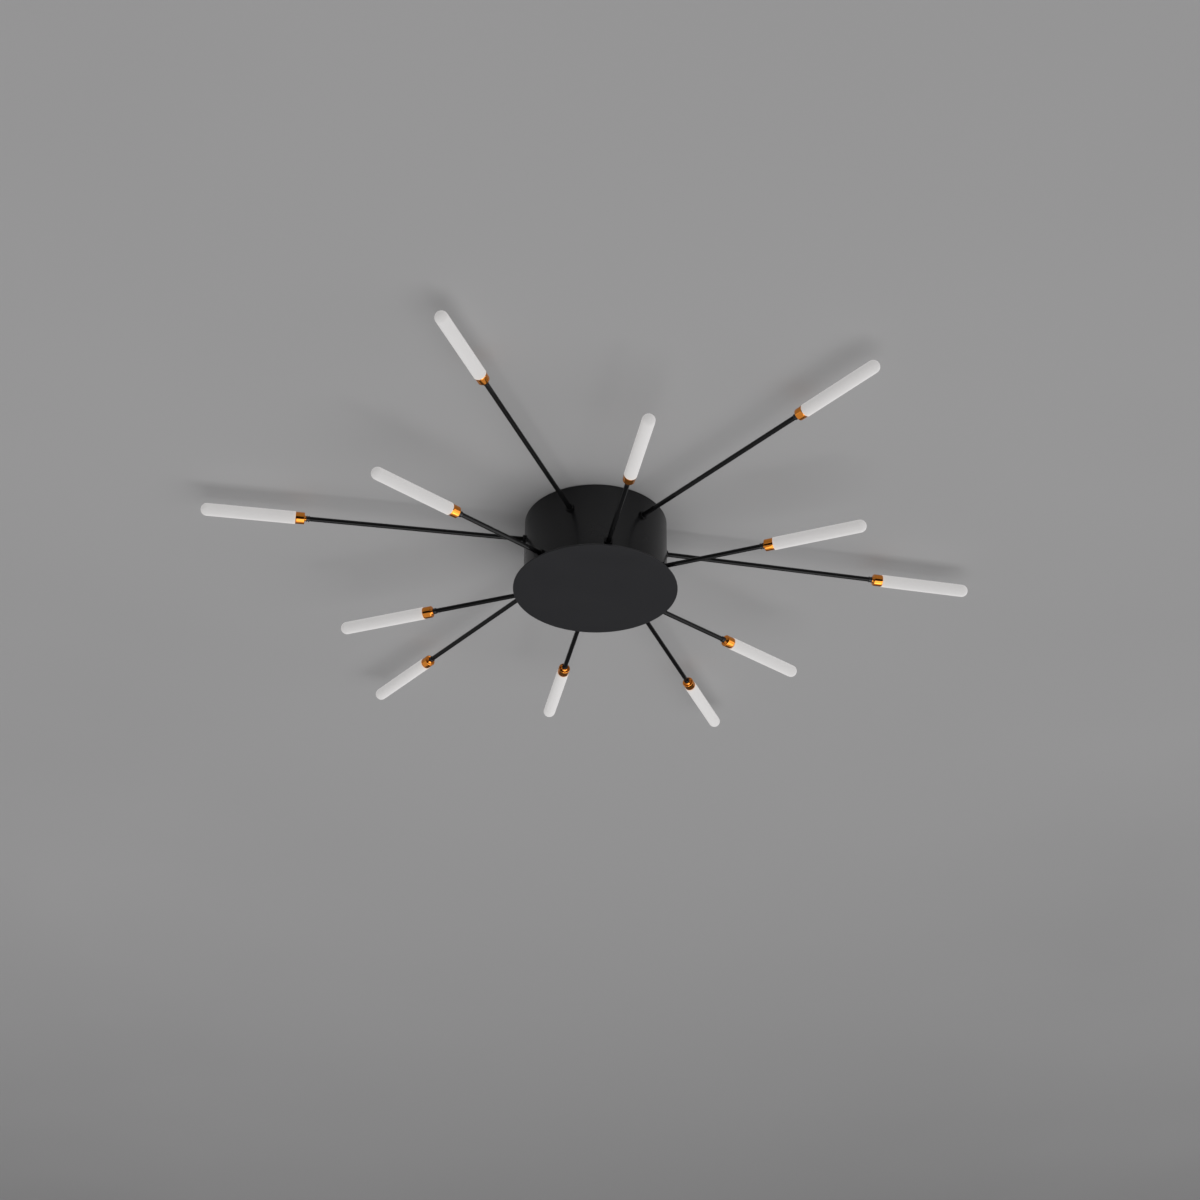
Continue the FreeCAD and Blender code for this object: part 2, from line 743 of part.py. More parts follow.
all_arms = [Arm(index) for index in range(arm_count)]
collar = laid_along_x(hex_nut(collar_across_flats, collar_thickness, thread_hole_radius), drum_radius)
lock_nut = laid_along_x(hex_nut(lock_nut_across_flats, lock_nut_thickness, thread_hole_radius),
                        lock_nut_seat - lock_nut_thickness)
washer = make_washer()
end_nut = make_end_nut()
cup = make_cup()
tube = make_tube()
base_plug = make_base_plug()
strip = make_strip()

export("canopy_drum", make_drum(all_arms))
export("bottom_disc", make_disc())
export("stud_nuts", *make_stud_nuts())
for each in all_arms:
    export("rod_" + each.name, make_rod(each))
    export("cup_" + each.name, each.put(cup, each.cup_back))
    export("diffuser_" + each.name, each.put(tube, each.cup_back))
export("rod_collar_nuts", *[each.put(collar) for each in all_arms])
export("rod_washers", *[each.put(washer) for each in all_arms])
export("rod_lock_nuts", *[each.put(lock_nut) for each in all_arms])
export("rod_end_nuts", *[each.put(end_nut, each.cup_back - neck_length) for each in all_arms])
export("led_base_plugs", *[each.put(base_plug, each.cup_back) for each in all_arms])
export("led_strips", *[each.put(strip, each.cup_back) for each in all_arms])
export("arm_leads", *[make_arm_lead(each) for each in all_arms])
export("arm_lead_plugs", *[make_arm_plug(each) for each in all_arms])
export("lead_hub_board", make_hub_board(all_arms))
export("driver_base", make_driver_base())
export("driver_case", make_driver_case())
export("driver_board", make_driver_board())
export("driver_leads", *make_driver_leads())
export("mains_plug", make_mains_plug())
export("canopy_grub_screws", make_grub_screw(1), make_grub_screw(-1))
export("ceiling_bracket", make_bracket())
export("cable_grommet", make_grommet())
export("terminal_block", make_terminal_block())
export("terminal_screws", *make_terminal_screws())
export("earth_screw", make_pan_screw(screw_diameter, earth_head_diameter, earth_head_height,
                                     bracket_bottom, -screw_end_below_ceiling, earth_screw_place, 0))
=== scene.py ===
import math

import bmesh
import bpy
import numpy as np
from mathutils import Matrix, Vector


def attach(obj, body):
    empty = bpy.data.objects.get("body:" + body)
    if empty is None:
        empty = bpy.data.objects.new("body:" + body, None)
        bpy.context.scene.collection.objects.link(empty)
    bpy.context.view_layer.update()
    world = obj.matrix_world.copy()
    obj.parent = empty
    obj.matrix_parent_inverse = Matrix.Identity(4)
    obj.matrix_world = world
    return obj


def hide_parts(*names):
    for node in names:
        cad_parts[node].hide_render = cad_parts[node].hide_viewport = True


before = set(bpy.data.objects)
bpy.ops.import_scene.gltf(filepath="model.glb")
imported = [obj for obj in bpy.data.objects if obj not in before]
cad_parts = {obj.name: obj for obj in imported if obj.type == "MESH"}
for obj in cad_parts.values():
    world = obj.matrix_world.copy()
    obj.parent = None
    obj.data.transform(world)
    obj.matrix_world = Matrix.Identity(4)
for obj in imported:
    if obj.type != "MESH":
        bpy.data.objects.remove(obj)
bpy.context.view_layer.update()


# The ceiling bracket: a 2 mm steel bar, bright zinc plated, with both ends bent down into tabs.
# Two slots take the ceiling screws, and the canopy's grub screws grip the tabs.

mm = 0.001


def join(tree, kind, inputs=None, **settings):
    """Adds a shader node; each input is a value, or another node's output to join it to."""
    node = tree.nodes.new(kind)
    for setting, value in settings.items():
        setattr(node, setting, value)
    for socket, value in (inputs or {}).items():
        if isinstance(value, bpy.types.NodeSocket):
            tree.links.new(value, node.inputs[socket])
        else:
            node.inputs[socket].default_value = value
    return node


def effect(name, inputs, outputs):
    """Empty shader node group: inputs are (name, kind, value), and outputs are names of plain values."""
    group = bpy.data.node_groups.new(name, "ShaderNodeTree")
    for label, kind, value in inputs:
        socket = group.interface.new_socket(label, in_out="INPUT", socket_type="NodeSocket" + kind)
        if value is not None:
            socket.default_value = value
    for label in outputs:
        group.interface.new_socket(label, in_out="OUTPUT", socket_type="NodeSocketFloat")
    into = group.nodes.new("NodeGroupInput").outputs
    out_of = group.nodes.new("NodeGroupOutput").inputs
    return group, into, out_of


def use_effect(tree, group, inputs):
    """Places an effect in a material with its own values, and gives its outputs by name."""
    return join(tree, "ShaderNodeGroup", inputs, node_tree=group).outputs


def spread(tree, value, low, high):
    """A 0 to 1 value stretched over low to high."""
    ranged = join(tree, "ShaderNodeMapRange", {"Value": value, "To Min": low, "To Max": high})
    return ranged.outputs["Result"]


def blend_colours(tree, mask, first, second):
    """First colour where the mask is 0, and second where it is 1; each is a colour or a node's output."""
    first, second = [(*colour, 1.0) if isinstance(colour, tuple) else colour for colour in (first, second)]
    factor, colour_a, colour_b, mixed = 0, 6, 7, 2
    node = join(tree, "ShaderNodeMix", {factor: mask, colour_a: first, colour_b: second}, data_type="RGBA")
    return node.outputs[mixed]


def start_finish(name):
    """New material: its tree, its Principled BSDF and the piece's own Object coordinates."""
    material = bpy.data.materials.new(name)
    material.use_nodes = True
    tree = material.node_tree
    shader = tree.nodes["Principled BSDF"]
    place = tree.nodes.new("ShaderNodeTexCoord").outputs["Object"]
    return material, tree, shader, place


def lay_on(tree, shader, colour, roughness, height=None, strength=0.0, depth=0.0):
    """Gives a shader its colour, its roughness, and a bump whose height of 1 stands depth metres proud."""
    tree.links.new(colour, shader.inputs["Base Color"])
    tree.links.new(roughness, shader.inputs["Roughness"])
    if height is not None:
        bump = join(tree, "ShaderNodeBump", {"Height": height, "Strength": strength, "Distance": depth})
        tree.links.new(bump.outputs["Normal"], shader.inputs["Normal"])


def dress(node, material):
    """Gives a piece that keeps its own mesh its finish."""
    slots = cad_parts[node].data.materials
    slots.clear()
    slots.append(material)


# Drawn lines: noise stretched along one direction, for rolled, brushed and turned metal
drawn_lines, take, give = effect("drawn lines", [
    ("Vector", "Vector", None), ("Stretch", "Vector", (20.0, 2400.0, 2400.0)), ("Detail", "Float", 3.0),
], ["Line", "Blotch"])
stretched = join(drawn_lines, "ShaderNodeVectorMath", {0: take["Vector"], 1: take["Stretch"]},
                 operation="MULTIPLY").outputs["Vector"]
lines = join(drawn_lines, "ShaderNodeTexNoise", {
    "Vector": stretched, "Scale": 1.0, "Detail": take["Detail"], "Roughness": 0.6})
blotches = join(drawn_lines, "ShaderNodeTexNoise", {"Vector": take["Vector"], "Scale": 60.0, "Detail": 3.0})
drawn_lines.links.new(lines.outputs["Fac"], give["Line"])
drawn_lines.links.new(blotches.outputs["Fac"], give["Blotch"])

# Bright zinc: bluish plating with faint straw tints, over the lines that the rolling mill left
zinc, tree, shader, place = start_finish("bright zinc plate")
rolled = use_effect(tree, drawn_lines, {"Vector": place, "Stretch": (25.0, 2200.0, 2200.0)})
bluish, straw = (0.66, 0.69, 0.72), (0.70, 0.67, 0.58)
plating = blend_colours(tree, spread(tree, rolled["Blotch"], -0.25, 0.75), bluish, straw)
lay_on(tree, shader, plating, spread(tree, rolled["Line"], 0.22, 0.44), rolled["Line"],
       strength=0.25, depth=0.02 * mm)
shader.inputs["Metallic"].default_value = 1.0
dress("ceiling_bracket", zinc)


# The cable grommet: a black rubber bush in the bracket's middle hole, pushed in from below.
# Its flange keeps the supply cable off the steel's edge.


def eased(corners, ease, steps=6, closed=True):
    """Outline with eased corners: (1-q)^2 A + 2q(1-q) P + q^2 B, for q from 0 to 1 at each corner P.

    A and B lie on the edges before and after P, an ease's length away and at most halfway along the edge.
    """
    corners = np.asarray(corners, float)
    ease = np.broadcast_to(np.asarray(ease, float), len(corners))[:, None]
    before = np.roll(corners, 1, 0) - corners
    after = np.roll(corners, -1, 0) - corners
    reach_before = np.linalg.norm(before, axis=1, keepdims=True)
    reach_after = np.linalg.norm(after, axis=1, keepdims=True)
    start = corners + before / reach_before * np.minimum(ease, reach_before / 2)
    end = corners + after / reach_after * np.minimum(ease, reach_after / 2)
    q = np.linspace(0, 1, steps)[None, :, None]
    curve = (1 - q) ** 2 * start[:, None] + 2 * q * (1 - q) * corners[:, None] + q ** 2 * end[:, None]
    if closed:
        return curve.reshape(-1, corners.shape[1])
    return np.vstack([corners[:1], curve[1:-1].reshape(-1, corners.shape[1]), corners[-1:]])


def about_axis(radius, turn, height):
    """Points (r cos t, r sin t, h) about +Z, one row for each height and one column for each turn t."""
    return np.stack(np.broadcast_arrays(radius * np.cos(turn), radius * np.sin(turn), height), -1)


def turned(outline, sides=96):
    """Surface of revolution about +Z: each (height, radius) of the outline swept through a full turn."""
    height, radius = np.asarray(outline, float).T[:, :, None]
    return about_axis(radius, np.linspace(0, 2 * np.pi, sides, endpoint=False), height)


def skin(grid, ring=True):
    """Quads between the neighbours of a grid of points, with lengths along the grid as UV, in metres.

    Columns always close on themselves. With ring, the last row joins the first as well.
    """
    rows, columns = grid.shape[:2]
    down = np.arange(rows if ring else rows - 1)[:, None]
    across = np.arange(columns)[None, :]
    corners = [(down, across), (down, across + 1), (down + 1, across + 1), (down + 1, across)]
    quads = np.stack([(i % rows) * columns + j % columns for i, j in corners], -1)
    run = np.vstack([grid, grid[:1]])
    along = np.concatenate([[0], np.cumsum(np.linalg.norm(np.diff(run, axis=0), axis=2).max(1))])
    around = np.linalg.norm(np.diff(grid, axis=1), axis=2).max() * np.arange(columns + 1)
    uv = np.stack([np.stack(np.broadcast_arrays(around[j], along[i]), -1) for i, j in corners], -2)
    return grid.reshape(-1, 3), quads.reshape(-1, 4), uv.reshape(-1, 2)


def piece(name, skins, material, node, body, sharp=32):
    """Mesh object of closed skins, with its points welded, its faces outwards and its real edges sharp."""
    points, quads, uv = zip(*skins)
    first = np.cumsum([0] + [len(part) for part in points])
    quads = [part + start for part, start in zip(quads, first)]
    mesh = bpy.data.meshes.new(name)
    mesh.from_pydata(np.concatenate(points).tolist(), [], np.concatenate(quads).tolist())
    mesh.uv_layers.new(name="surface").data.foreach_set("uv", np.concatenate(uv).ravel())
    shell = bmesh.new()
    shell.from_mesh(mesh)
    bmesh.ops.remove_doubles(shell, verts=shell.verts, dist=0.001 * mm)
    bmesh.ops.recalc_face_normals(shell, faces=shell.faces)
    shell.to_mesh(mesh)
    shell.free()
    mesh.shade_smooth()
    mesh.set_sharp_from_angle(angle=math.radians(sharp))
    mesh.materials.append(material)
    made = bpy.data.objects.new(name, mesh)
    bpy.context.scene.collection.objects.link(made)
    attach(made, body)
    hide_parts(node)
    return made


rubber, tree, shader, place = start_finish("black rubber")
bloom = join(tree, "ShaderNodeTexNoise", {"Vector": place, "Scale": 350.0, "Detail": 5.0}).outputs["Fac"]
lay_on(tree, shader, blend_colours(tree, bloom, (0.016, 0.016, 0.017), (0.040, 0.039, 0.038)),
       spread(tree, bloom, 0.62, 0.85), bloom, strength=0.3, depth=0.05 * mm)

# Height and radius of the grommet's corners, and how far each is eased: barrel, flange, then the bore
grommet_corners = np.array([
    (0.0, 4.6), (0.0, 6.9), (-2.0, 6.9), (-2.0, 9.0), (-4.2, 9.0), (-4.2, 4.6), (-3.4, 4.0), (-0.8, 4.0),
]) * mm
grommet_ease = np.array([0.3, 0.4, 0.1, 0.6, 0.8, 0.6, 0.5, 0.5]) * mm
piece("cable_grommet_rubber", [skin(turned(eased(grommet_corners, grommet_ease)))], rubber,
      node="cable_grommet", body="ceiling_base")


# The terminal block hangs under the bracket on two slotted screws, and the earth screw is beside it.
# The block and the mains plug that pushes up into it are moulded polyamide.

# Settled dust: it lies on faces that look up, thicker in soft patches
settled_dust, take, give = effect("settled dust", [
    ("Vector", "Vector", None), ("Normal", "Vector", None),
    ("Amount", "Float", 0.5), ("Patch", "Float", 90.0),
], ["Mask"])
upward = join(settled_dust, "ShaderNodeSeparateXYZ", {0: take["Normal"]}).outputs["Z"]
facing_up = join(settled_dust, "ShaderNodeMapRange", {"Value": upward, "From Min": 0.35, "From Max": 0.95},
                 interpolation_type="SMOOTHSTEP").outputs["Result"]
patches = join(settled_dust, "ShaderNodeTexNoise", {
    "Vector": take["Vector"], "Scale": take["Patch"], "Detail": 5.0, "Roughness": 0.65}).outputs["Fac"]
patchy = join(settled_dust, "ShaderNodeMapRange", {
    "Value": patches, "From Min": 0.3, "From Max": 0.75}).outputs["Result"]
dusty = join(settled_dust, "ShaderNodeMath", {0: facing_up, 1: patchy}, operation="MULTIPLY").outputs[0]
dusty = join(settled_dust, "ShaderNodeMath", {0: dusty, 1: take["Amount"]}, operation="MULTIPLY").outputs[0]
settled_dust.links.new(dusty, give["Mask"])

# Moulded skin: the slight waviness and eggshell grain that a steel mould leaves on plastic
moulded_skin, take, give = effect("moulded skin", [
    ("Vector", "Vector", None), ("Grain", "Float", 2600.0), ("Wave", "Float", 70.0),
], ["Grain", "Wave"])
for label in ("Grain", "Wave"):
    noise = join(moulded_skin, "ShaderNodeTexNoise", {
        "Vector": take["Vector"], "Scale": take[label], "Detail": 3.0})
    moulded_skin.links.new(noise.outputs["Fac"], give[label])


def dust_mask(tree, place, amount):
    """Where dust has settled on a piece."""
    normal = tree.nodes.new("ShaderNodeNewGeometry").outputs["Normal"]
    return use_effect(tree, settled_dust, {"Vector": place, "Normal": normal, "Amount": amount})["Mask"]


def moulded_finish(name, pale, deep, gloss, grain_depth):
    """Moulded plastic between two close tones, with its grain as a shallow bump."""
    material, tree, shader, place = start_finish(name)
    surface = use_effect(tree, moulded_skin, {"Vector": place})
    tone = blend_colours(tree, surface["Wave"], pale, deep)
    dusted = blend_colours(tree, dust_mask(tree, place, 0.25), tone, (0.42, 0.40, 0.37))
    lay_on(tree, shader, dusted, spread(tree, surface["Grain"], gloss, gloss + 0.18), surface["Grain"],
           strength=0.2, depth=grain_depth)
    return material


polyamide = moulded_finish("white polyamide", pale=(0.80, 0.80, 0.77), deep=(0.74, 0.74, 0.71),
                           gloss=0.34, grain_depth=0.03 * mm)
dress("terminal_block", polyamide)
dress("mains_plug", polyamide)
dress("terminal_screws", zinc)

plain_brass, tree, shader, place = start_finish("plain brass")
drawn = use_effect(tree, drawn_lines, {"Vector": place, "Stretch": (900.0, 900.0, 60.0)})
brass = blend_colours(tree, drawn["Blotch"], (0.78, 0.58, 0.26), (0.62, 0.44, 0.19))
lay_on(tree, shader, brass, spread(tree, drawn["Line"], 0.2, 0.4))
shader.inputs["Metallic"].default_value = 1.0
dress("earth_screw", plain_brass)


# The canopy drum: rolled and pressed 1.2 mm steel, powder coated satin black, with a bent-in bottom
# flange. Its two welded nuts hold the grub screws that grip the bracket.

# Powder coat skin: the fine orange peel of fused powder, and soft patches where it lies thicker
powder_skin, take, give = effect("powder skin", [
    ("Vector", "Vector", None), ("Peel", "Float", 1500.0), ("Patch", "Float", 22.0),
], ["Height", "Patch"])
peel = join(powder_skin, "ShaderNodeTexNoise", {
    "Vector": take["Vector"], "Scale": take["Peel"], "Detail": 1.5, "Roughness": 0.45})
thick = join(powder_skin, "ShaderNodeTexNoise", {
    "Vector": take["Vector"], "Scale": take["Patch"], "Detail": 4.0})
powder_skin.links.new(peel.outputs["Fac"], give["Height"])
powder_skin.links.new(thick.outputs["Fac"], give["Patch"])


def powder_finish(name, deep, light, gloss, shine, peel_depth, dust):
    """Black powder coat between two close tones, with orange peel and a little dust on what looks up."""
    material, tree, shader, place = start_finish(name)
    coat = use_effect(tree, powder_skin, {"Vector": place})
    tone = blend_colours(tree, coat["Patch"], deep, light)
    dusted = blend_colours(tree, dust_mask(tree, place, dust), tone, (0.16, 0.155, 0.145))
    lay_on(tree, shader, dusted, spread(tree, coat["Patch"], gloss - 0.05, gloss + 0.07), coat["Height"],
           strength=0.35, depth=peel_depth)
    shader.inputs["Specular IOR Level"].default_value = shine
    return material


canopy_black = powder_finish("canopy powder coat",
                             deep=(0.0048, 0.0048, 0.0054), light=(0.0064, 0.0064, 0.0071),
                             gloss=0.25, shine=0.37, peel_depth=0.012 * mm, dust=0.35)
dress("canopy_drum", canopy_black)

grub_steel = powder_finish("blackened grub screw",
                           deep=(0.010, 0.010, 0.011), light=(0.020, 0.019, 0.019),
                           gloss=0.30, shine=0.45, peel_depth=0.01 * mm, dust=0.0)
dress("canopy_grub_screws", grub_steel)


# The bottom disc: a 2 mm steel plate with a broken edge, in the same coat, bolted up under the drum.
# Welded M4 studs on its back pass through the drum's flange and the driver's ears.


def threaded(radius, pitch, low, high, tip=0.4 * mm, sides=40):
    """Screw thread about +Z: r = radius - depth |2 frac(h / pitch - t / 2 pi) - 1|, with a coned tip."""
    turn = np.linspace(0, 2 * np.pi, sides, endpoint=False)
    height = np.arange(low, high, pitch / 8)
    phase = (height[:, None] / pitch - turn / (2 * np.pi)) % 1.0
    depth = 0.6 * pitch * np.abs(2 * phase - 1)
    past_cone = np.clip((height[-1] - height) / tip, 0, 1)[:, None]
    wall = about_axis(np.minimum(radius - depth, radius * (0.72 + 0.28 * past_cone)), turn, height[:, None])
    ends = [np.broadcast_to([0, 0, height[k]], wall[:1].shape) for k in (0, -1)]
    return np.concatenate([ends[0], wall, ends[1]])


disc_radius, disc_top, disc_bottom = 104 * mm, -97 * mm, -99 * mm
disc_corners = [(disc_top, 0), (disc_top, disc_radius), (disc_bottom, disc_radius), (disc_bottom, 0)]
disc_outline = eased(disc_corners, 0.45 * mm, closed=False)
flat_rings = np.array([0.2, 0.5, 0.8]) * disc_radius
top_rings = np.stack([np.full(3, disc_top), flat_rings], -1)
bottom_rings = np.stack([np.full(3, disc_bottom), flat_rings[::-1]], -1)
disc_outline = np.vstack([disc_outline[:1], top_rings, disc_outline[1:-1], bottom_rings, disc_outline[-1:]])

# Three studs on a circle for the drum's flange, and two beside the driver for its ears
flange_turns = np.radians([10.0, 130.0, 250.0])
flange_stud_circle, driver_stud_reach = 83.8 * mm, 56 * mm
stud_places = np.vstack([
    flange_stud_circle * np.stack([np.cos(flange_turns), np.sin(flange_turns)], -1),
    [(driver_stud_reach, 0), (-driver_stud_reach, 0)],
])
stud_foot = -97.6 * mm
stud_tops = np.array([-91.1, -91.1, -91.1, -89.3, -89.3]) * mm
disc_skins = [skin(turned(disc_outline, sides=240), ring=False)]
for (x, y), stud_top in zip(stud_places, stud_tops):
    stud = threaded(radius=2.0 * mm, pitch=0.7 * mm, low=stud_foot, high=stud_top)
    disc_skins.append(skin(stud + (x, y, 0), ring=False))
# Painted light: this copy of the drum's coat has a lighter tone than the drum's, standing in for the light
# the down-facing disc gets from the lamps below
disc_black_painted_lighter = powder_finish("disc powder coat",
                           deep=(0.0178, 0.0178, 0.0196), light=(0.0203, 0.0203, 0.0222),
                           gloss=0.42, shine=0.20, peel_depth=0.02 * mm, dust=0.35)
piece("bottom_disc_plate", disc_skins, disc_black_painted_lighter, node="bottom_disc", body="canopy")


# The stud nuts: plain zinc plated M4 nuts, turned down on the disc's welded studs.
# Three clamp the drum's flange to the disc, and two hold the driver by its ears.


def hex_nut(across, height, bore, sides=96):
    """Hexagon nut about +Z: r = (across / 2) / cos(((t + 30) mod 60) - 30), in degrees.

    A 30 degree cone cuts its corners at each end, and its bore is countersunk from both sides.
    """
    turn = np.linspace(0, 2 * np.pi, sides, endpoint=False)
    hexagon = across / 2 / np.cos((turn + np.pi / 6) % (np.pi / 3) - np.pi / 6)
    near_end = np.linspace(0, 0.09 * across, 7)
    levels = np.concatenate([near_end, height - near_end[::-1]])
    from_end = np.minimum(levels, height - levels)[:, None]
    flank = np.minimum(hexagon, across / 2 * 0.985 + from_end / np.tan(np.pi / 6))
    sink = 0.12 * bore
    levels = np.concatenate([[sink, 0], levels, [height, height - sink]])
    inner = np.ones((1, sides)) * bore
    return about_axis(np.vstack([inner, inner + sink, flank, inner + sink, inner]), turn, levels[:, None])


stud_nut = hex_nut(across=7.0 * mm, height=3.2 * mm, bore=2.05 * mm, sides=72)
nut_seats = np.array([-95.8, -95.8, -95.8, -94.0, -94.0]) * mm
piece("stud_nuts_zinc", [skin(stud_nut + (x, y, seat)) for (x, y), seat in zip(stud_places, nut_seats)],
      zinc, node="stud_nuts", body="canopy")


# The LED driver: a moulded base and case bolted to the disc, with its circuit board inside.
# Four pillars on the case carry the hub board, and their pins are heat-staked over it.

case_plastic = moulded_finish("driver case plastic", pale=(0.62, 0.63, 0.63), deep=(0.56, 0.57, 0.57),
                              gloss=0.30, grain_depth=0.04 * mm)
dress("driver_base", case_plastic)
dress("driver_case", case_plastic)

# The boards: lacquered fibreglass, with the copper under the lacquer as a lighter track pattern
board_tracks, take, give = effect("board tracks", [
    ("Vector", "Vector", None), ("Pitch", "Float", 240.0), ("Width", "Float", 0.55),
], ["Track"])
cells = join(board_tracks, "ShaderNodeTexVoronoi", {
    "Vector": take["Vector"], "Scale": take["Pitch"], "Randomness": 0.35}, distance="CHEBYCHEV")
track = join(board_tracks, "ShaderNodeMath", {0: cells.outputs["Distance"], 1: take["Width"]},
             operation="LESS_THAN").outputs[0]
board_tracks.links.new(track, give["Track"])


def board_finish(name, lacquer, over_copper, chips=None):
    """Lacquered circuit board: bare lacquer, and a lighter tone where it lies over copper.

    Chips, where a board has them, is a function that gives their mask and colour.
    """
    material, tree, shader, place = start_finish(name)
    track = use_effect(tree, board_tracks, {"Vector": place})["Track"]
    wave = use_effect(tree, moulded_skin, {"Vector": place})["Wave"]
    tone = blend_colours(tree, track, lacquer, over_copper)
    if chips is not None:
        mask, chip_colour = chips(tree, place)
        tone = blend_colours(tree, mask, tone, chip_colour)
    lay_on(tree, shader, tone, spread(tree, wave, 0.22, 0.36), track, strength=0.25, depth=0.05 * mm)
    return material


green_board = board_finish("green circuit board", lacquer=(0.016, 0.120, 0.045),
                           over_copper=(0.030, 0.200, 0.075))
white_board = board_finish("white circuit board", lacquer=(0.80, 0.80, 0.78), over_copper=(0.66, 0.68, 0.63))
nylon = moulded_finish("natural nylon", pale=(0.74, 0.65, 0.44), deep=(0.68, 0.59, 0.39),
                       gloss=0.32, grain_depth=0.03 * mm)
dress("driver_board", green_board)
dress("lead_hub_board", white_board)
dress("arm_lead_plugs", nylon)


# The leads: a twisted pair from the hub board through each rod to its LED strip, and the driver's two
# leads. Silicone insulated wire, pushed into its plugs and sockets at both ends.

arm_turns = np.radians([12.0, 40.5, 69.5, 100.5, 128.0, 159.5, 189.0, 222.0, 249.5, 280.0, 310.0, 338.5])
arm_heights = np.tile([-32.0, -84.0], 6) * mm
cup_backs = np.tile([370.4, 225.4], 6) * mm
rod_ends = cup_backs + 3 * mm
arm_numbers = ["%02d" % (arm + 1) for arm in range(12)]


def on_arm(grid, arm, along=0.0):
    """A form built about +Z, laid along +X, moved out along the arm and turned to its place."""
    laid = grid[..., [2, 0, 1]] + (along, 0, arm_heights[arm])
    c, s = np.cos(arm_turns[arm]), np.sin(arm_turns[arm])
    return laid @ np.array([(c, s, 0), (-s, c, 0), (0, 0, 1)])


def lead_line(route):
    """Smooth middle line of a lead: a NURBS spline with the route's points as its control points."""
    line = bpy.data.curves.new("lead line", "CURVE")
    line.dimensions = "3D"
    line.resolution_u = 16
    spline = line.splines.new("NURBS")
    spline.points.add(len(route) - 1)
    spline.points.foreach_set("co", np.column_stack([route, np.ones(len(route))]).ravel())
    spline.order_u = 3
    spline.use_endpoint_u = True
    holder = bpy.data.objects.new("lead line", line)
    followed = bpy.data.meshes.new_from_object(holder)
    places = np.empty(len(followed.vertices) * 3, np.float32)
    followed.vertices.foreach_get("co", places)
    bpy.data.meshes.remove(followed)
    bpy.data.objects.remove(holder)
    bpy.data.curves.remove(line)
    return places.reshape(-1, 3).astype(float)


def carried(path, radius, aside, off=0.0, pitch=None, phase=0.0, step=1.2 * mm, sides=12):
    """Round wire carried along a path that lies in one upright plane, with aside as that plane's normal.

    With b = aside and n = b x tangent, a point is p + off (n cos a + b sin a) + radius (n cos t + b sin t),
    where a = 2 pi (length / pitch) + phase turns the wire round the path.
    """
    lengths = np.concatenate([[0], np.cumsum(np.linalg.norm(np.diff(path, axis=0), axis=1))])
    at = np.linspace(0, lengths[-1], max(int(lengths[-1] / step), 8))
    p = np.stack([np.interp(at, lengths, path[:, k]) for k in range(3)], -1)
    tangent = np.gradient(p, axis=0)
    tangent /= np.linalg.norm(tangent, axis=1, keepdims=True)
    n = np.cross(aside, tangent)
    b = np.broadcast_to(aside, n.shape)
    a = (2 * np.pi * at / pitch if pitch else 0 * at)[:, None] + phase
    middle = p + off * (n * np.cos(a) + b * np.sin(a))
    t = np.linspace(0, 2 * np.pi, sides, endpoint=False)[:, None]
    wall = middle[:, None] + radius * (n[:, None] * np.cos(t) + b[:, None] * np.sin(t))
    caps = [np.broadcast_to(middle[k], wall[:1].shape) for k in (0, -1)]
    return np.concatenate([caps[0], wall, caps[1]])


def twisted_pair(path, aside, sides):
    """Two thin wires laid round each other, with one full turn in every 15 mm."""
    return [skin(carried(path, 0.57 * mm, aside, off=0.6 * mm, pitch=15 * mm, phase=phase, sides=sides),
                 ring=False) for phase in (0.0, np.pi)]


silicone = moulded_finish("silicone lead", pale=(0.78, 0.77, 0.74), deep=(0.70, 0.69, 0.66),
                          gloss=0.42, grain_depth=0.02 * mm)

# Each arm lead leaves its plug on the hub board, rises or dips to its rod, and runs out through it
hub_height = -56.9 * mm
lead_skins = []
for arm in range(12):
    outward = np.array([np.cos(arm_turns[arm]), np.sin(arm_turns[arm]), 0])
    aside = np.array([-outward[1], outward[0], 0])
    reach = np.append(np.array([35.0, 39.0, 46.0, 69.8, 76.0, 81.0]) * mm, rod_ends[arm])
    height = np.repeat([hub_height, arm_heights[arm]], [3, 4])
    path = lead_line(reach[:, None] * outward + height[:, None] * (0, 0, 1))
    lead_skins += twisted_pair(path, aside, sides=8)
piece("arm_lead_pairs", lead_skins, silicone, node="arm_leads", body="canopy")

# The mains lead climbs from the driver's end to the mains plug, and the output lead to the hub board
mains_route = np.array([(47.0, 0, -84.4), (54.0, 0, -84.4), (66.75, 0, -84.4), (66.75, 0, -66.0),
                        (66.75, 0, -24.2)]) * mm
output_route = np.array([(-47.0, 0, -84.4), (-52.0, 0, -84.4), (-62.0, 0, -84.4), (-62.0, 0, -63.5),
                         (-50.0, 0, -63.5), (-29.0, 0, -63.5)]) * mm
across_driver = np.array([0, 1.0, 0])
mains_lead = carried(lead_line(mains_route), radius=1.8 * mm, aside=across_driver, sides=20)
driver_skins = [skin(mains_lead, ring=False)] + twisted_pair(lead_line(output_route), across_driver, sides=10)
piece("driver_lead_wires", driver_skins, silicone, node="driver_leads", body="canopy")


# The rods: 6 mm steel tube in satin black powder coat, threaded at both ends.
# The inner thread carries the washer and the lock nut inside the drum, and the collar nut outside it.


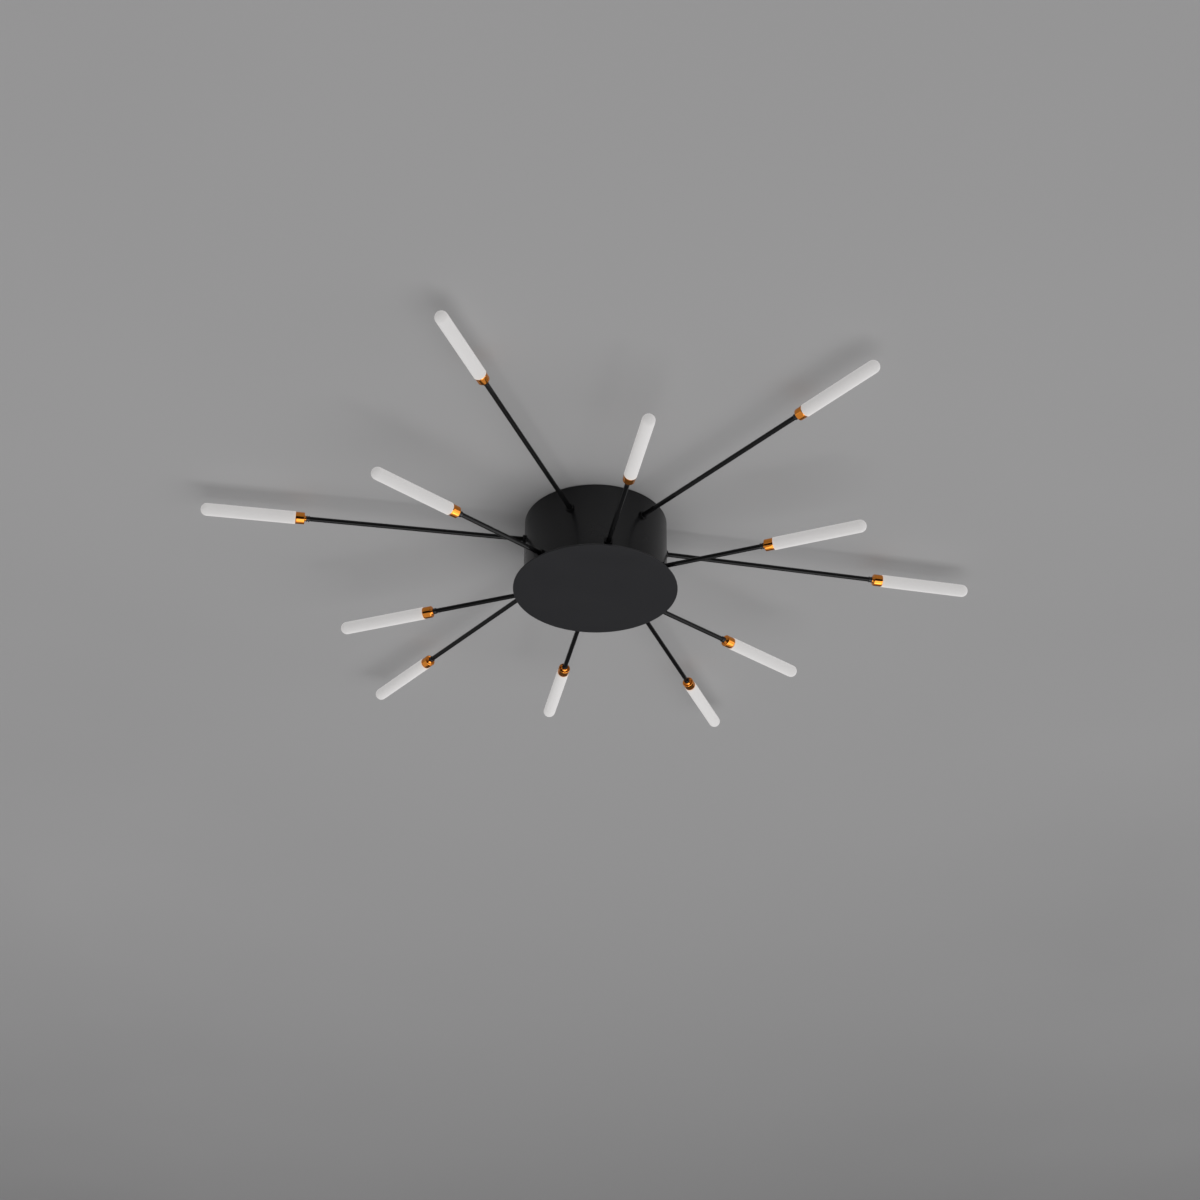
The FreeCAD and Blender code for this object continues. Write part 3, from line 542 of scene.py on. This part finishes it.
def rod_form(length, thread_in, thread_out, pitch=0.75 * mm, radius=3.0 * mm, bore=2.0 * mm, sides=56):
    """Tube about +Z: r = radius, less 0.6 pitch |2 frac(h / pitch - t / 2 pi) - 1| over the end threads."""
    ease, lead_in = 0.3 * mm, 0.45 * mm
    turn = np.linspace(0, 2 * np.pi, sides, endpoint=False)
    height = np.concatenate([np.arange(ease, thread_in, pitch / 7),
                             np.linspace(thread_in, length - thread_out, 12),
                             np.arange(length - thread_out + pitch / 7, length - ease, pitch / 7)])
    run_in = np.clip((thread_in - height) / mm, 0, 1) + np.clip((height - length + thread_out) / mm, 0, 1)
    phase = (height[:, None] / pitch - turn / (2 * np.pi)) % 1.0
    wall = radius - 0.6 * pitch * np.abs(2 * phase - 1) * run_in[:, None]
    height = np.concatenate([[ease, 0, 0], height, [length, length, length - ease]])
    flat = np.ones((1, sides))
    mouth = [flat * bore, flat * (bore + ease), flat * (radius - lead_in)]
    return about_axis(np.vstack(mouth + [wall] + mouth[::-1]), turn, height[:, None])


rod_start = 80.8 * mm
rod_black = powder_finish("rod powder coat", deep=(0.0035, 0.0035, 0.0038), light=(0.0055, 0.0055, 0.0058),
                          gloss=0.11, shine=0.20, peel_depth=0.004 * mm, dust=0.25)
for arm, number in enumerate(arm_numbers):
    form = rod_form(rod_ends[arm] - rod_start, thread_in=13.5 * mm, thread_out=8.0 * mm)
    piece("arm_rod_" + number, [skin(on_arm(form, arm, rod_start))], rod_black,
          node="rod_" + number, body="canopy")

collar = hex_nut(across=10.0 * mm, height=3.2 * mm, bore=3.05 * mm)
drum_outside = 91.0 * mm
piece("rod_collars_black", [skin(on_arm(collar, arm, drum_outside)) for arm in range(12)], rod_black,
      node="rod_collar_nuts", body="canopy")


def toothed_washer(inner, outer, thickness, teeth=14, sides=168):
    """Washer about +Z whose rim swells and whose teeth twist: r = outer - 0.5 mm (1 + cos(teeth t)) / 2."""
    turn = np.linspace(0, 2 * np.pi, sides, endpoint=False)
    rim = outer - 0.5 * mm * (1 + np.cos(teeth * turn)) / 2
    twist = 0.22 * mm * np.sin(teeth * turn)
    flat = np.ones(sides)
    low, high = 0.25 * mm, thickness - 0.25 * mm
    radius = np.stack([flat * inner, rim * 0.8, rim, rim, rim * 0.8, flat * inner])
    level = np.stack([flat * low, flat * low, low + twist, high + twist, flat * high, flat * high])
    return about_axis(radius, turn, level)


# The washer's rim meets the drum's round inside, and the lock nut is tightened up against the washer
drum_inside, washer_rim, washer_thickness, lock_thickness = 89.8 * mm, 5.5 * mm, 0.8 * mm, 3.0 * mm
washer_seat = math.sqrt(drum_inside ** 2 - washer_rim ** 2) - washer_thickness
lock_nut = hex_nut(across=10.0 * mm, height=lock_thickness, bore=3.05 * mm)
piece("rod_lock_nuts_zinc", [skin(on_arm(lock_nut, arm, washer_seat - lock_thickness)) for arm in range(12)],
      zinc, node="rod_lock_nuts", body="canopy")
washer = toothed_washer(inner=3.15 * mm, outer=washer_rim, thickness=washer_thickness)
piece("rod_toothed_washers", [skin(on_arm(washer, arm, washer_seat)) for arm in range(12)],
      zinc, node="rod_washers", body="canopy")


# The end nuts: small round steel nuts, blackened, each with a groove turned round its middle.
# One is tightened against the back of each cup, and locks it on its rod.

# Height and radius of the nut's corners, from its inner end to the end at the cup
end_nut_corners = np.array([
    (-4.6, 3.05), (-4.6, 3.4), (-4.2, 3.8), (-2.85, 3.8), (-2.85, 3.2), (-1.75, 3.2), (-1.75, 3.8),
    (-0.4, 3.8), (0.0, 3.4), (0.0, 3.05),
]) * mm
end_nut = turned(eased(end_nut_corners, 0.16 * mm, steps=4), sides=72)
neck_length = 1.7 * mm
end_nut_black = powder_finish("blackened end nut", deep=(0.006, 0.006, 0.007), light=(0.011, 0.011, 0.012),
                              gloss=0.12, shine=0.50, peel_depth=0.005 * mm, dust=0.1)
piece("rod_end_nuts_black", [skin(on_arm(end_nut, arm, cup_backs[arm] - neck_length)) for arm in range(12)],
      end_nut_black, node="rod_end_nuts", body="canopy")


# The cups: turned brass with a polished copper-gold plating, a short neck, a dished back and a bevelled
# lip. Each screws onto its rod's end and holds one frosted tube.

plated, tree, shader, place = start_finish("copper-gold plate")
turned_way = tree.nodes.new("ShaderNodeUVMap").outputs["UV"]
lathe = use_effect(tree, drawn_lines, {"Vector": turned_way, "Stretch": (25.0, 9000.0, 1.0), "Detail": 2.0})
warm = use_effect(tree, moulded_skin, {"Vector": place, "Wave": 55.0})["Wave"]
lay_on(tree, shader, blend_colours(tree, warm, (0.95, 0.340, 0.048), (0.90, 0.295, 0.038)),
       spread(tree, lathe["Line"], 0.02, 0.06), lathe["Line"], strength=0.12, depth=0.008 * mm)
shader.inputs["Metallic"].default_value = 1.0
shader.inputs["Coat Weight"].default_value = 0.1
shader.inputs["Coat Roughness"].default_value = 0.08

# Height and radius of the cup's corners: bore and neck, then dished back, wall and lip, then the floor
cup_neck = eased(np.array([(3.0, 3.05), (-1.7, 3.05), (-1.7, 3.4), (0.7, 3.4)]) * mm, 0.28 * mm)[6:]
cup_body = eased(np.array([
    (0.7, 3.6), (0.62, 4.85), (0.35, 5.6), (0.05, 6.25), (0.0, 6.45), (0.0, 7.0), (0.62, 7.6), (10.2, 7.6),
    (10.45, 7.52), (11.5, 7.36), (11.5, 6.75),
]) * mm, 0.3 * mm, closed=False)
cup_floor = np.array([(3.0, 6.75)]) * mm
cup = turned(np.vstack([cup_neck, cup_body, cup_floor]), sides=120)
for arm, number in enumerate(arm_numbers):
    piece("arm_cup_" + number, [skin(on_arm(cup, arm, cup_backs[arm]))], plated,
          node="cup_" + number, body="canopy")


# The LED strips: white boards with a row of LED chips on each side, standing in the slots of the white
# base plugs at the bottom of the cups.


def led_chips(tree, place):
    """Mask of what stands off a strip's two faces, in either ring of arms, and the chips' yellow."""
    ring_gap = arm_heights[0] - arm_heights[1]
    strip_face = 0.95 * mm
    level = join(tree, "ShaderNodeSeparateXYZ", {0: place}).outputs["Z"]
    from_lower = join(tree, "ShaderNodeMath", {0: level, 1: -arm_heights[1]}, operation="ADD").outputs[0]
    from_strip = join(tree, "ShaderNodeMath", {0: from_lower, 1: ring_gap / 2, 2: -ring_gap / 2},
                      operation="WRAP").outputs[0]
    off_strip = join(tree, "ShaderNodeMath", {0: from_strip}, operation="ABSOLUTE").outputs[0]
    mask = join(tree, "ShaderNodeMath", {0: off_strip, 1: strip_face}, operation="GREATER_THAN").outputs[0]
    return mask, (0.80, 0.53, 0.06)


strip_board = board_finish("white strip board", lacquer=(0.82, 0.82, 0.80), over_copper=(0.76, 0.77, 0.74),
                           chips=led_chips)
dress("led_strips", strip_board)
dress("led_base_plugs", polyamide)


# The frosted tubes: opal acrylic, closed by a round tip, with a turned-down spigot pushed into the cup.
# The matt skin scatters light, a faint even emission is a painted glow that stands for the light that wanders
# inside the wall, and the end by the cup has a painted warm reflection of the cup's copper-gold.

opal, tree, shader, place = start_finish("frosted opal acrylic")
frost = use_effect(tree, moulded_skin, {"Vector": place, "Grain": 4200.0, "Wave": 45.0})
cloud = blend_colours(tree, frost["Wave"], (0.42, 0.416, 0.412), (0.395, 0.391, 0.387))
# Painted reflection: the tube's end by the cup is tinted with the cup's warm copper-gold, by a per-point mask
# made below
painted_copper_bounce = join(tree, "ShaderNodeAttribute", attribute_name="painted_copper_bounce").outputs["Fac"]
copper_bounce_tinted = blend_colours(tree, painted_copper_bounce, cloud, (0.56, 0.45, 0.34))
dusted = blend_colours(tree, dust_mask(tree, place, 0.12), copper_bounce_tinted, (0.55, 0.54, 0.52))
lay_on(tree, shader, dusted, spread(tree, frost["Grain"], 0.72, 0.88), frost["Grain"],
       strength=0.15, depth=0.02 * mm)
shader.inputs["Specular IOR Level"].default_value = 0.08
shader.inputs["Diffuse Roughness"].default_value = 1.0
# Painted glow: a faint even emission standing in for light scattered inside the acrylic wall, not the LEDs'
# own light
shader.inputs["Emission Color"].default_value = (1.0, 0.975, 0.968, 1.0)
shader.inputs["Emission Strength"].default_value = 0.36

# Height and radius along the tube, from the inside of the tip round the spigot to the outside of the tip
tube_radius, tube_bore, spigot_radius = 8.0 * mm, 5.8 * mm, 6.5 * mm
spigot_end, shoulder, tip_centre = 5.4 * mm, 11.6 * mm, 121.6 * mm
quarter = np.radians(np.linspace(0, 90, 15))
dome = np.stack([np.sin(quarter), np.cos(quarter)], -1)
tube_mouth = eased([
    (9.0 * mm, tube_bore), (spigot_end, tube_bore), (spigot_end, spigot_radius), (shoulder, spigot_radius),
    (shoulder, tube_radius), (12.3 * mm, tube_radius),
], np.array([0.1, 0.2, 0.25, 0.1, 0.45, 0.1]) * mm, closed=False)
wall_rings = np.array([13.0, 14.0, 15.5, 17.5, 20.0, 24.0, 30.0, 40.0, 60.0, 90.0]) * mm
tube_wall = np.stack([wall_rings, np.full_like(wall_rings, tube_radius)], -1)
tube_outline = np.vstack([(tip_centre, 0) + tube_bore * dome[::-1], tube_mouth, tube_wall,
                          (tip_centre, 0) + tube_radius * dome])
tube_form = turned(tube_outline, sides=96)
for arm, number in enumerate(arm_numbers):
    tube = piece("frosted_tube_" + number, [skin(on_arm(tube_form, arm, cup_backs[arm]), ring=False)], opal,
                 node="diffuser_" + number, body="tube_" + number, sharp=50)
    # The painted reflection's mask: strongest at the cup's shoulder, fading outward along the tube
    corners = np.empty(len(tube.data.vertices) * 3, np.float32)
    tube.data.vertices.foreach_get("co", corners)
    out = np.linalg.norm(corners.reshape(-1, 3)[:, :2], axis=1) - cup_backs[arm] - shoulder
    out = np.clip(out, 0, None)
    glow = 0.75 * np.exp(-out / (1.6 * mm)) + 0.12 * np.exp(-out / (9 * mm))
    copper_bounce_attribute = tube.data.attributes.new("painted_copper_bounce", "FLOAT", "POINT")
    copper_bounce_attribute.data.foreach_set("value", glow.astype(np.float32))


# The ceiling that the light hangs from, the studio lamps and cards, and the camera.
# The ceiling shows only from below, and lets the lamp above it light the canopy's open top. The cards
# are what the plated cups and the black coat mirror, and the camera doesn't see them.

ceiling_half_width, ceiling_half_depth, ceiling_level = 6, 3.6, 0.6 * mm
ceiling_mesh = bpy.data.meshes.new("ceiling")
ceiling_mesh.from_pydata([(x, y, ceiling_level) for y in (-ceiling_half_depth, ceiling_half_depth)
                          for x in (-ceiling_half_width, ceiling_half_width)], [], [(0, 2, 3, 1)])
ceiling = bpy.data.objects.new("ceiling", ceiling_mesh)
bpy.context.scene.collection.objects.link(ceiling)

plaster, tree, shader, place = start_finish("ceiling paint")
roller = join(tree, "ShaderNodeTexNoise", {"Vector": place, "Scale": 1.3, "Detail": 2.0}).outputs["Fac"]
# Painted light: the paint is lighter towards -X and darker towards +X, a painted falloff of light across the
# ceiling; the roller noise is the paint's own uneven tone
across = join(tree, "ShaderNodeSeparateXYZ", {0: place}).outputs["X"]
painted_falloff = join(tree, "ShaderNodeMapRange", {"Value": across, "From Min": -0.9, "From Max": 0.9})
paint = blend_colours(tree, painted_falloff.outputs["Result"], (0.412, 0.408, 0.410), (0.296, 0.294, 0.295))
rolled_paint = blend_colours(tree, roller, paint, (0.350, 0.347, 0.349))
tree.links.new(rolled_paint, shader.inputs["Base Color"])
shader.inputs["Roughness"].default_value = 0.95
shader.inputs["Specular IOR Level"].default_value = 0.1
seen_from_above = tree.nodes.new("ShaderNodeNewGeometry").outputs["Backfacing"]
shadow_ray = tree.nodes.new("ShaderNodeLightPath").outputs["Is Shadow Ray"]
let_through = join(tree, "ShaderNodeMath", {0: seen_from_above, 1: shadow_ray}, operation="MAXIMUM")
clear = tree.nodes.new("ShaderNodeBsdfTransparent").outputs["BSDF"]
pane = join(tree, "ShaderNodeMixShader", {0: let_through.outputs[0], 1: shader.outputs["BSDF"], 2: clear})
tree.links.new(pane.outputs[0], tree.nodes["Material Output"].inputs["Surface"])
ceiling_mesh.materials.append(plaster)


def soft_box(name, direction, distance, width, depth, power):
    """Rectangular lamp facing the canopy from one direction, with its width level."""
    lamp = bpy.data.lights.new(name, "AREA")
    lamp.shape = "RECTANGLE"
    lamp.size = width
    lamp.size_y = depth
    lamp.energy = power
    box = bpy.data.objects.new(name, lamp)
    towards = Vector(direction).normalized()
    level = Vector((1, 0, 0))
    level = (level - towards * level.dot(towards)).normalized()
    facing = Matrix((level, towards.cross(level), towards)).transposed().to_4x4()
    canopy_middle = Vector((0, 0, -50 * mm))
    box.matrix_world = Matrix.Translation(towards * distance + canopy_middle) @ facing
    bpy.context.scene.collection.objects.link(box)


soft_box("soft box below", (0.36, -0.18, -0.91), distance=4.2, width=6.6, depth=4.8, power=132.0)
soft_box("small box below", (0.38, 0.22, -0.90), distance=2.6, width=0.6, depth=0.6, power=2.2)
soft_box("soft box above", (0.1, -0.2, 1.0), distance=3.0, width=2.4, depth=2.4, power=88.0)


def studio_card(name, start, end, drop, brightness):
    """Flat card that hangs from the ceiling's level between two places, drop metres deep."""
    mesh = bpy.data.meshes.new(name)
    mesh.from_pydata([(*start, 0), (*end, 0), (*end, -drop), (*start, -drop)], [], [(0, 1, 2, 3)])
    cloth = bpy.data.materials.new(name)
    cloth.use_nodes = True
    cloth.node_tree.nodes.clear()
    tone = (brightness, brightness, brightness * 1.01, 1.0)
    shine = join(cloth.node_tree, "ShaderNodeEmission", {"Color": tone})
    join(cloth.node_tree, "ShaderNodeOutputMaterial", {"Surface": shine.outputs["Emission"]})
    mesh.materials.append(cloth)
    card = bpy.data.objects.new(name, mesh)
    card.visible_camera = False
    bpy.context.scene.collection.objects.link(card)


studio_card("black card in front", (-9, -3.6), (9, -3.6), drop=3.9, brightness=0.02)
studio_card("dark card behind", (-9, 3.6), (9, 3.6), drop=3.5, brightness=0.09)
studio_card("white card on the right", (8, -3.5), (8, 3.5), drop=3.5, brightness=1.30)

world = bpy.data.worlds.new("studio")
bpy.context.scene.world = world
world.use_nodes = True
world.node_tree.nodes["Background"].inputs["Color"].default_value = (0.53, 0.53, 0.534, 1.0)

# The camera: it looks up at the canopy, with the focal length counted in the frame's 1200 pixels
focal_pixels, frame_pixels, sensor = 2353.0, 1200.0, 36.0
tilt, roll = math.radians(31.88), math.radians(0.389)
looked_at = Vector((0, 0, -46.8 * mm))
camera_distance, shift_right, shift_down = 2.9992, 5.67 * mm, 56.77 * mm
camera_data = bpy.data.cameras.new("camera")
camera_data.sensor_width = sensor
camera_data.lens = sensor * focal_pixels / frame_pixels
camera_data.clip_start = 0.05
camera_data.clip_end = 50.0
camera = bpy.data.objects.new("camera", camera_data)
bpy.context.scene.collection.objects.link(camera)
ahead = Vector((0, math.cos(tilt), math.sin(tilt)))
level_right = Vector((1, 0, 0))
level_up = level_right.cross(ahead)
camera_right = level_right * math.cos(roll) + level_up * math.sin(roll)
camera_up = level_up * math.cos(roll) - level_right * math.sin(roll)
stand = looked_at - ahead * camera_distance + camera_right * shift_right - camera_up * shift_down
facing = Matrix((camera_right, camera_up, -ahead)).transposed().to_4x4()
camera.matrix_world = Matrix.Translation(stand) @ facing
bpy.context.scene.camera = camera
bpy.context.scene.view_settings.view_transform = "Standard"
